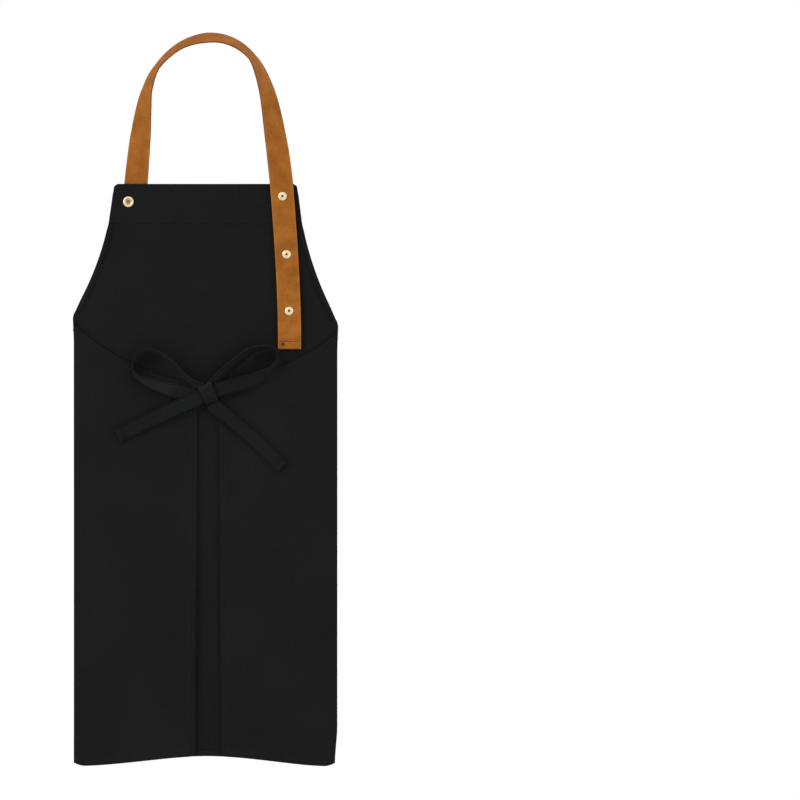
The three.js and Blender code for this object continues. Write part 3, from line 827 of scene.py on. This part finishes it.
def sew(name, places, material, size=1.0):
    """One piece of thread from many places, each a point, a direction and an outward way."""
    base = [v.co * size for v in BEAD.data.vertices]
    faces = [tuple(f.vertices) for f in BEAD.data.polygons]
    points, polygons = [], []
    for point, along, out in places:
        along = along.normalized()
        out = (out - along * out.dot(along)).normalized()
        turn = Matrix((along, out.cross(along), out)).transposed()
        offset = len(points)
        points.extend(point + turn @ co for co in base)
        polygons.extend(tuple(offset + i for i in face) for face in faces)
    mesh = bpy.data.meshes.new(name)
    mesh.from_pydata(points, [], polygons)
    piece = bpy.data.objects.new(name, mesh)
    bpy.context.scene.collection.objects.link(piece)
    recalculate(piece)
    soften(piece, 80)
    dress(piece, material)
    return piece


def row_on_cloth(line, surface, face, flap=0):
    """Stitches along line(v) = (x, z) on a cloth of depth surface(x, z)."""
    count = 400
    route = [line(i / count) for i in range(count + 1)]
    reach = [0.0]
    for a, b in zip(route, route[1:]):
        reach.append(reach[-1] + math.hypot(b[0] - a[0], b[1] - a[1]))

    def point_at(distance):
        i = min(max(bisect.bisect(reach, distance) - 1, 0), count - 1)
        share = (distance - reach[i]) / max(reach[i + 1] - reach[i], 1e-9)
        x, z = (mix(route[i][k], route[i + 1][k], share) for k in (0, 1))
        return hang(x, surface(x, z) + face * (CLOTH / 2 + STITCH_PROUD), z, flap)

    places = []
    for i in range(int(reach[-1] / STITCH_PITCH)):
        middle = (i + 0.5) * STITCH_PITCH
        a, b = point_at(middle - STITCH_LENGTH / 2), point_at(middle + STITCH_LENGTH / 2)
        places.append((point_at(middle), b - a, Vector((0, face, 0))))
    return places


def row_on_band(band, start, end, across, lift):
    """Stitches along a band, at a share of its half width."""
    places = []
    for i in range(int((end - start) / STITCH_PITCH)):
        point, along, _, face = band.at(start + (i + 0.5) * STITCH_PITCH, across, lift)
        places.append((point, along, face))
    return places


def row_across_band(band, distance, lift):
    """Stitches across a band, which stop a little short of its edges."""
    reach = 0.9
    count = int(band.width * reach / STITCH_PITCH)
    places = []
    for i in range(count):
        point, _, wide, face = band.at(distance, reach * (2 * (i + 0.5) / count - 1), lift)
        places.append((point, wide, face))
    return places


# ------------------------------------------------------------------ neck strap

# The sizes of stations are in millimetres.
STRAP_X = {-1: -91.5, 1: 99.5}
FRONT_STRAP, BACK_STRAP = 4.8, -5.1  # depth of the strap's middle at its two ends
STRAP_DROP = -BIB_TOP / MM
TAIL_LENGTH, TAIL_LEAN = 214, 10.5
LEFT_END, LEFT_LEAN = 39.4, 3.5
TAIL_JOIN = 22.5  # where the loop's leather is carried on by the tail's
END_HEM, PARED = 10.5 * MM, 1.0 * MM  # the tail's end, folded over and pared thin
END_TURN = (LEATHER / 2 + 0.3 * MM + PARED / 2) / 2  # radius of that fold

# The loop's stations: shares of its end's place across, drop and depth, and the tilt in degrees.
LEFT_LOOP = [
    (1, 1, 1, 0),
    (0.93, 0.65, 0.6, 28),
    (0.835, 0.33, 0, 62),
    (0.69, 0.166, -0.4, 74),
    (0.364, 0.018, -0.6, 69),
]
RIGHT_LOOP = [
    (0.335, -0.015, 0.8, 67),
    (0.612, 0.098, 0.8, 72),
    (0.788, 0.302, 0.8, 54),
    (0.925, 0.68, 1, 24),
    (1, 1, 1, 0),
]


def tail_station(drop):
    lean = TAIL_LEAN * math.sin(drop / TAIL_LENGTH * math.pi / 2)
    return (STRAP_X[1] + lean, BACK_STRAP, -STRAP_DROP - drop, 0)


def strap_stations():
    left = [
        (STRAP_X[-1] - LEFT_LEAN, FRONT_STRAP, -STRAP_DROP - LEFT_END, 0),
        (STRAP_X[-1] - LEFT_LEAN / 2, FRONT_STRAP, -STRAP_DROP - LEFT_END / 2, 0),
    ]
    left += [(STRAP_X[-1] * a, FRONT_STRAP * d, -STRAP_DROP * z, t) for a, z, d, t in LEFT_LOOP]
    apex = (0, BACK_STRAP * 0.7, 7.2, 62)
    right = [(STRAP_X[1] * a, BACK_STRAP * d, -STRAP_DROP * z, t) for a, z, d, t in RIGHT_LOOP]
    return [*left, apex, *right, tail_station(TAIL_JOIN / 2), tail_station(TAIL_JOIN)]


def leather_line(band):
    """The middle of a strap along a band, a little uneven."""

    def path(v):
        point, _, wide, face = band.at(band.length * v)
        return point + face * 0.4 * MM * noise.noise(point * 40), wide, face

    return path


def build_loop(section):
    band = Band(strap_stations(), STRAP_WIDTH)
    strap = strip_piece("neck_strap_leather", leather_line(band), 280, section)
    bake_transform(strap)
    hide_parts("strap_loop", "strap_left_end", "strap_right_end")


def build_end_fold(tail):
    """The tail's end, pared thin and folded over towards the wearer."""
    arc = math.pi * END_TURN

    def folded(v):
        reach = (arc + END_HEM) * v
        angle = min(reach / END_TURN, math.pi)
        back = max(reach - arc, 0)
        point, along, wide, face = tail.at(tail.length + END_TURN * math.sin(angle) - back)
        out = face * math.cos(angle) + along * math.sin(angle)
        return point + face * END_TURN * (1 - math.cos(angle)), wide, -out

    pared = rounded_section(STRAP_WIDTH - 0.2 * MM, PARED, 0.3 * MM)
    fold = strip_piece("strap_tail_turning", folded, 22, pared)
    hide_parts("strap_tail_end_hem")
    return fold


def build_eyelet(spot):
    deselect()
    bpy.ops.mesh.primitive_torus_add(major_segments=20, minor_segments=6, major_radius=1.5 * MM,
                                     minor_radius=0.6 * MM, location=(0, 0, 0))
    eyelet = bpy.context.object
    eyelet.name = eyelet.data.name = "strap_tail_eyelet"
    edit(eyelet)
    bpy.ops.transform.rotate(value=math.pi / 2, orient_axis="X", center_override=(0, 0, 0))
    bpy.ops.transform.translate(value=spot)
    bpy.ops.object.mode_set(mode="OBJECT")
    soften(eyelet)
    dress(eyelet, BROWN_THREAD)
    return eyelet


def build_tail(section):
    line = [tail_station(mix(TAIL_JOIN, TAIL_LENGTH, share / 8)) for share in range(9)]
    tail = Band(line, STRAP_WIDTH)
    leather = strip_piece("strap_tail_leather", leather_line(tail), 100, section)
    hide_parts("strap_tail")
    fold = build_end_fold(tail)
    top = 2 * END_TURN + PARED / 2
    rows = row_across_band(tail, tail.length - END_HEM + STITCH_INSET + 0.4 * MM, top)
    thread = sew("strap_tail_thread", rows, BROWN_THREAD, 1.5)
    eyelet = build_eyelet(tail.at(tail.length - 5.2 * MM, -0.56, top)[0])
    down = tail.at(6 * MM)[1]
    for piece in (leather, fold, thread, eyelet):
        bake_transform(piece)


# ------------------------------------------------------------------ press studs

def turned(name, node, profile, depth, direction, body="apron_body", core=0.9):
    """A piece spun from a profile of (radius, height) in millimetres about a Y axis through
    the middle of its node, with height measured from a depth along direction (1 or -1). It is
    unpolished within its core, a radius in millimetres."""
    low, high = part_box(node)
    at = Vector(((low.x + high.x) / 2, depth, (low.z + high.z) / 2))
    deselect()
    bpy.ops.mesh.primitive_plane_add(size=1 * MM)
    piece = bpy.context.object
    piece.name = piece.data.name = name
    edit(piece)
    bpy.ops.mesh.merge(type="CENTER")
    first, *rest = [Vector((r, direction * h, 0)) * MM for r, h in profile]
    bpy.ops.transform.translate(value=first)
    last = first
    for point in rest:
        bpy.ops.mesh.extrude_region_move(TRANSFORM_OT_translate={"value": point - last})
        last = point
    bpy.ops.mesh.select_all(action="SELECT")
    bpy.ops.mesh.spin(steps=40, angle=2 * math.pi, center=(0, 0, 0), axis=(0, 1, 0))
    bpy.ops.mesh.select_all(action="SELECT")
    bpy.ops.mesh.remove_doubles(threshold=0.01 * MM)
    bpy.ops.transform.translate(value=at)
    bpy.ops.mesh.normals_make_consistent(inside=False)
    bpy.ops.object.mode_set(mode="OBJECT")
    polish = piece.data.attributes.new("seam", "FLOAT", "POINT")
    for vertex in piece.data.vertices:
        away = math.hypot(vertex.co.x - at.x, vertex.co.z - at.z)
        polish.data[vertex.index].value = min(away / (core * MM), 1)
    soften(piece, 35)
    dress(piece, BRASS)
    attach(piece, body)
    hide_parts(node)


CAP = [
    (0.9, -1.9), (1.4, -1.9), (1.4, 0.0), (5.3, 0.0), (5.6, 0.15), (5.6, 0.45), (5.3, 0.75),
    (4.7, 0.95), (3.8, 1.05), (2.8, 1.1), (2.3, 1.3), (1.9, 1.35), (1.5, 1.1), (1.1, 0.6),
    (0.9, 0.2), (0.9, -1.9),
]
SOCKET = [
    (2.3, 0.1), (2.6, 0.0), (5.0, 0.0), (5.5, 0.3), (5.6, 0.8), (5.4, 1.3), (4.6, 1.6),
    (2.3, 1.6), (2.3, 0.1),
]
STUD = [
    (0, 0), (4.8, 0), (5.0, 0.15), (4.9, 0.4), (4.0, 0.5), (2.2, 0.55), (1.6, 0.8), (2.0, 1.2),
    (1.9, 1.6), (1.4, 1.8), (0, 1.8),
]
RING = [
    (0, 0.3), (3.6, 0.3), (4.0, 0.45), (4.3, 0.9), (4.9, 1.25), (5.6, 1.35), (6.3, 1.25),
    (6.9, 0.85), (7.1, 0.35), (6.9, 0.0), (1.4, 0.0), (1.4, -1.9), (0, -1.9),
]
DOME = [
    (0, 1.6), (2.0, 1.5), (3.6, 1.2), (4.8, 0.7), (5.5, 0.2), (5.6, 0.0), (1.4, 0.0),
    (1.4, -1.9), (0, -1.9),
]
CAP_CORE, RING_CORE = 1.9, 3.9


def build_snaps():
    cloth_front, facing_back = 1.1 * MM, -1.4 * MM
    front_face, back_face = (FRONT_STRAP + 1.3) * MM, (BACK_STRAP - 1.3) * MM
    stud_height = 0.8 * MM
    turned("left_stud", "bib_left_stud", STUD, cloth_front, 1)
    turned("left_ring", "bib_left_ring", RING, facing_back, -1, core=RING_CORE)
    turned("left_socket", "strap_left_socket", SOCKET, cloth_front + stud_height, 1)
    turned("left_cap", "strap_left_cap", CAP, front_face, 1, core=CAP_CORE)
    turned("right_stud", "bib_right_stud", STUD, facing_back, -1)
    turned("right_dome", "bib_right_cap", DOME, cloth_front, 1)
    for level in ("upper", "middle", "lower"):
        body = "apron_body" if level == "upper" else "hanging_strap_tail"
        node = f"strap_{level}_"
        turned(f"{level}_socket", node + "socket", SOCKET, facing_back - stud_height, -1, body)
        turned(f"{level}_cap", node + "cap", CAP, back_face, -1, body, CAP_CORE)


# ------------------------------------------------------------------ bow

STANDING = -13.7  # depth of the middle of a tie that stands on its edge


def near_knot(right, y, up, tilt=0):
    """A station of a band, in millimetres across and up from the knot's middle."""
    return (KNOT.x / MM + right, y, KNOT.z / MM + up, tilt)


LEFT_BOW = [
    (-4, -9.5, 2, 20),
    (-22, STANDING + 1.2, 13.5, 55),
    (-34, STANDING + 0.8, 24.5, 62),
    (-49.5, STANDING, 42, 72),
    (-65.5, STANDING, 53, 80),
    (-80.5, STANDING, 56.3, 86),
    (-92.3, STANDING, 51, 90),
    (-98.6, STANDING, 39.5, 90),
    (-96, STANDING, 27, 80),
    (-83, STANDING + 1, 16.5, 58),
    (-57, STANDING + 3.6, 6.8, 36),
    (-40, STANDING + 4.5, 2.4, 5),
    (-23.5, STANDING + 4.4, -1.5, 0),
    (-4, -11, -3, 0),
]
RIGHT_BOW = [
    (4, -12, 1, 180),
    (19.5, STANDING, 6.8, 174),
    (41, STANDING, 12, 166),
    (69.5, STANDING, 22, 140),
    (84.5, STANDING, 33.5, 112),
    (90.5, STANDING, 45.5, 90),
    (87.5, STANDING, 57, 82),
    (71.5, STANDING, 60.5, 76),
    (54.5, STANDING + 0.5, 54.5, 62),
    (36, STANDING + 1.5, 41, 50),
    (18.5, STANDING + 2, 24, 42),
    (4, -9, 8, 20),
]
TAILS = {  # where a tail leaves the knot, its way in degrees, and how its depth falls to its tip
    -1: {"start": (-10.4, -12.8, -4.9), "turn": 205, "length": 120, "fall": (0, 0.05, 0.6, 1)},
    1: {"start": (10.5, -8.7, -19), "turn": -42, "length": 116, "fall": (0, 0.4, 0.8, 1)},
}
TAIL_TIP = -6.3  # depth of the middle of a tail's end
TIE_END = 8 * MM
KNOT_HIGH, KNOT_DEEP, KNOT_WIDE = 13.4 * MM, 6.0 * MM, 19.5 * MM
KNOT_ROUND = 70 * MM  # cloth in one turn of the wrap


def tail_stations(side):
    tail = TAILS[side]
    direction = math.radians(tail["turn"])
    right, y, up = tail["start"]
    stations = []
    for share, fall in zip((0, 0.25, 0.6, 1), tail["fall"]):
        reach = tail["length"] * share
        bow = 1.6 * math.sin(math.pi * share) * side
        stations.append(near_knot(
            right + math.cos(direction) * reach + bow * math.sin(direction) * -side,
            mix(y, TAIL_TIP, fall),
            up + math.sin(direction) * reach + abs(bow) * 0.8,
        ))
    inside, deeper = 9, 1.0  # the tail's root, hidden in the knot
    root = near_knot(
        right - math.cos(direction) * inside, y + deeper, up - math.sin(direction) * inside)
    return [root, *stations]


def build_bow_loop(name, stations):
    band = Band([near_knot(*station) for station in stations], TIE_WIDTH)
    loop = tie_piece(f"{name}_bow_cloth", band, 11, 110, crown=0.35 * MM, wobble=0.9 * MM)
    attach(loop, "apron_body")
    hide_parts(f"{name}_bow_loop")


def build_tie_tail(side, name):
    band = Band(tail_stations(side), TIE_WIDTH)
    slack = {"crown": 0.3 * MM, "wobble": 0.6 * MM}
    end_start, clear_of_knot = band.length - TIE_END, 12 * MM
    tail = tie_piece(f"{name}_tail_cloth", band, 9, 48, **slack)
    end = tie_piece(f"{name}_tail_turning", band, 9, 6, start=end_start, lift=LAYER, **slack)
    seam_side = -0.84
    rows = row_on_band(band, clear_of_knot, end_start, seam_side, CLOTH / 2 + 0.35 * MM)
    rows += row_across_band(band, end_start + STITCH_INSET, LAYER + CLOTH / 2 + 0.3 * MM)
    thread = sew(f"{name}_tail_thread", rows, BLACK_THREAD)
    along = band.at(clear_of_knot)[1]
    for piece in (tail, end, thread):
        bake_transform(piece)
    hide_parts(f"{name}_tie_tail")
    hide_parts(f"{name}_tie_tail_hem")


def squared(value):
    """A sine or cosine pushed outward, so that a round turn becomes squarer."""
    return math.copysign(abs(value) ** 0.72, value)


def build_knot():
    """The tie wrapped once round the middle of the bow, pinched and creased."""
    right = Vector((math.cos(KNOT_TURN), 0, math.sin(KNOT_TURN)))
    up = Vector((-math.sin(KNOT_TURN), 0, math.cos(KNOT_TURN)))
    out = Vector((0, -1, 0))

    def place(u, v):
        angle = 2 * math.pi * v
        pinch = 1 - 0.10 * math.sin(math.pi * u) ** 2
        narrowing = 1 - 0.12 * math.sin(angle / 2) ** 2
        round_bow = up * squared(math.cos(angle)) * KNOT_HIGH * pinch
        round_bow += out * squared(math.sin(angle)) * KNOT_DEEP * pinch
        crease = noise.noise(Vector((u * 5, angle * 1.2, 3.1))) * 0.9 * MM
        crease += 0.35 * MM * math.sin(u * 17 + angle * 2)
        point = KNOT + right * (u - 0.5) * KNOT_WIDE * narrowing + round_bow
        point += round_bow.normalized() * crease
        return point, (u * KNOT_WIDE, v * KNOT_ROUND), min(u, 1 - u) * KNOT_WIDE

    knot = grid_piece("knot_wrap_cloth", 18, 72, place)
    edit(knot)
    bpy.ops.mesh.remove_doubles(threshold=0.02 * MM)
    bpy.ops.object.mode_set(mode="OBJECT")
    thicken(knot)
    soften(knot)
    dress(knot, TAPE)
    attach(knot, "apron_body")
    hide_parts("knot_wrap")


# A tie's sewn end, outer and inner. Across is measured from the flap's edge and from the
# knot's middle, and up from the knot's middle.
SEWN_ENDS = {-1: ((-13, -16), (-7, -5)), 1: ((13, -35), (5, -14))}


def build_sewn_end(side, name):
    node = f"{name}_tie_sewn_end"
    low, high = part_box(node)
    depth = (low.y + high.y) / 2 / MM
    (from_edge, below), (from_knot, under) = SEWN_ENDS[side]
    outer = (FLAP_EDGE[side] / MM + from_edge, depth, KNOT.z / MM + below, 0)
    inner = near_knot(from_knot, depth, under)
    middle = tuple(mix(a, b, 0.5) for a, b in zip(outer, inner))
    band = Band([outer, middle, inner], TIE_WIDTH)
    root = tie_piece(f"{name}_tie_root", band, 9, 12)
    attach(root, "apron_body")
    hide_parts(node)


# ------------------------------------------------------------------ thread of the hems

def hem_surface(x, z):
    """Depth of the hems that are turned on to the front cloth's back."""
    return panel_depth(x, z) - LAYER


def pocket_surface(x, z):
    width, height = POCKET_HIGH.x - POCKET_LOW.x, POCKET_HIGH.z - POCKET_LOW.z
    share_up = min(max((z - POCKET_LOW.z) / height, 0), 1)
    return pocket_place((x - POCKET_LOW.x) / width, share_up).y


def straight(start, end):
    """A straight row between two places (x, z)."""
    return lambda v: tuple(mix(a, b, v) for a, b in zip(start, end))


def build_body_thread():
    """The rows that hold the front cloth's hems, seen on both its sides, and the pocket's."""
    facing_z = BIB_TOP - FACING_DEPTH + STITCH_INSET
    reach = armhole_x(1, FACING_DEPTH) - 2 * MM
    bottom_reach = FOLD_FLAT - 2 * MM

    def bottom(v):
        x = mix(-bottom_reach, bottom_reach, v)
        return x, hem_height(x) + BOTTOM_HEM - STITCH_INSET

    def armhole(edge):
        def line(v):
            (x, z), (in_x, in_z) = edge(v)
            inward = EDGE_HEM - STITCH_INSET
            return x + in_x * inward, z + in_z * inward
        return line

    rows = []
    armholes = [armhole(armhole_line(side)) for side in NAMES]
    for line in (straight((-reach, facing_z), (reach, facing_z)), bottom, *armholes):
        rows += row_on_cloth(line, hem_surface, -1)
        rows += row_on_cloth(line, panel_depth, 1)
    left, right = POCKET_LOW.x + POCKET_SEAM, POCKET_HIGH.x - POCKET_SEAM
    foot, mouth = POCKET_LOW.z + POCKET_SEAM, POCKET_HIGH.z - POCKET_SEAM
    pocket_foot = straight((left, foot), (right, foot))
    rows += row_on_cloth(pocket_foot, pocket_surface, 1)
    rows += row_on_cloth(pocket_foot, panel_depth, -1)
    for x in (left, right):
        rows += row_on_cloth(straight((x, foot), (x, mouth)), pocket_surface, 1)
    thread = sew("body_thread", rows, BLACK_THREAD)
    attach(thread, "apron_body")


def build_flap_thread(side, name):
    surface = partial(flap_depth, side)
    edge = FLAP_EDGE[side]
    inner = edge + side * (EDGE_HEM - STITCH_INSET)
    lines = [straight((inner, hem_height(inner) + 6 * MM), (inner, WAIST - 3 * MM))]
    for height, inset in ((partial(flap_top, side), STITCH_INSET - EDGE_HEM),
                          (hem_height, BOTTOM_HEM - STITCH_INSET)):

        def hem_row(v, height=height, inset=inset):
            x = side * mix(FOLD_FLAT - 3 * MM, abs(inner), v)
            return x, height(x) + inset

        lines.append(hem_row)
    if side > 0:  # a short tack beside the right flap's edge
        tack = WAIST - 51 * MM
        lines.append(straight((edge + 1 * MM, tack), (edge + 10 * MM, tack)))
    rows = []
    for line in lines:
        rows += row_on_cloth(line, surface, -1, side)
    thread = sew(f"{name}_flap_thread", rows, BLACK_THREAD)
    blend_flap(thread, side)
    return thread


# ------------------------------------------------------------------ stage

FLOOR_GAP = 0.55  # the apron hangs this far above the floor


def build_stage():
    deselect()
    bpy.ops.mesh.primitive_circle_add(vertices=96, radius=4.5, fill_type="NGON",
                                      location=(0, 0, HEM - FLOOR_GAP))
    floor = bpy.context.object
    floor.name = "studio_floor"
    paint = Finish("pale_floor")
    mottle = paint.texture("Noise", paint.place, scale=11.0, detail=7.0)
    paint.cover(paint.ramp(mottle, (0.3, grey(0.762)), (0.7, grey(0.785))))
    paint.even(roughness=0.85)
    floor.data.materials.append(paint.material)

    world = bpy.data.worlds.new("studio_air")
    bpy.context.scene.world = world
    world.use_nodes = True
    background = world.node_tree.nodes["Background"]
    background.inputs["Color"].default_value = (1, 1, 1, 1)
    background.inputs["Strength"].default_value = 1.0

    aim = Vector((0, 0, -0.45))
    lamps = (  # name, place, size and power
        ("key", (-2.6, -2.8, 1.2), 1.2, 34),
        ("fill", (2.6, -3.0, 0.4), 2.0, 6),
        ("rear_key", (2.6, 2.8, 1.2), 1.2, 34),
        ("rear_fill", (-2.6, 3.0, 0.4), 2.0, 6),
    )
    for name, at, size, power in lamps:
        light = bpy.data.lights.new(name, "AREA")
        light.size = size
        light.energy = power
        lamp = bpy.data.objects.new(name, light)
        lamp.location = at
        lamp.rotation_euler = (aim - Vector(at)).to_track_quat("-Z", "Y").to_euler()
        bpy.context.scene.collection.objects.link(lamp)


def build_camera():
    """A long lens, square on to the wearer's side, with the apron left of the middle."""
    data = bpy.data.cameras.new("camera")
    data.sensor_width = 36
    data.lens = 206.4
    distance, right, below = 6.0, 0.2543, 0.4663
    camera = bpy.data.objects.new("camera", data)
    camera.location = (right, -distance, -below)
    camera.rotation_euler = (math.pi / 2, 0, 0)
    data.clip_end = 60
    bpy.context.scene.collection.objects.link(camera)
    bpy.context.scene.camera = camera
    bpy.context.scene.view_settings.view_transform = "Standard"


# ------------------------------------------------------------------ the apron

build_camera()
build_stage()
front, front_area = build_front()
front_hems = build_front_hems()
pocket, pocket_area, pocket_hem = build_pocket()
flaps = {side: build_flap(side) for side in NAMES}
build_body_thread()
for side, (flap, area, hems) in flaps.items():
    flap_thread = build_flap_thread(side, NAMES[side])
    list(hems)
strap_section = rounded_section(STRAP_WIDTH, LEATHER, 0.6 * MM)
build_loop(strap_section)
build_tail(strap_section)
build_snaps()
build_knot()
for side, name in NAMES.items():
    build_sewn_end(side, name)
for name, stations in (("left", LEFT_BOW), ("right", RIGHT_BOW)):
    build_bow_loop(name, stations)
for side, name in NAMES.items():
    build_tie_tail(side, name)
bpy.data.objects.remove(BEAD)
